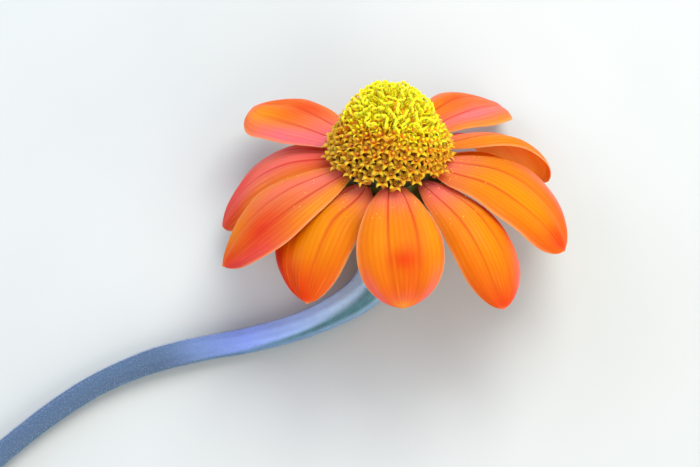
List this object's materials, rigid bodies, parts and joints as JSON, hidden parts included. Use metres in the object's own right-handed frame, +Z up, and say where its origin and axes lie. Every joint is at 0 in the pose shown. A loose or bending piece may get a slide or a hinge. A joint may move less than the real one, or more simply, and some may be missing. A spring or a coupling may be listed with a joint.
{
  "type": "mexican sunflower",
  "caption": "Cut daisy-like bloom on a curved downy stem, with broad orange rays that arch down round a high dome of golden florets, lying on a surface.",
  "frame": {"origin": "centre of the bounding box's footprint, on the surface that the flower lies on", "axes": "+X to the right along the flower's longest extent, from the cut end of the stem to the head; +Y towards the back, the way that the head leans; +Z up"},
  "size_m": [0.1396, 0.1006, 0.0404],
  "materials": {
    "stem_skin": "downy, matt green with a pale bluish sheen",
    "bract_green": "soft matt green leaf",
    "floret_gold": "soft, slightly waxy golden yellow",
    "ray_orange": "soft satin orange with a pink bloom on grazing faces"
  },
  "bodies": {
    "root": {"stem": "stem_skin", "involucre": "bract_green", "disc_florets": "floret_gold", "ray_back_left": "ray_orange", "ray_left": "ray_orange", "ray_left_front": "ray_orange", "ray_front_left": "ray_orange", "ray_front": "ray_orange", "ray_front_right": "ray_orange", "ray_right_front": "ray_orange", "ray_right": "ray_orange", "ray_right_back": "ray_orange", "ray_back_right": "ray_orange", "ray_back_first": "ray_orange", "ray_back_second": "ray_orange"}
  },
  "joints": []
}
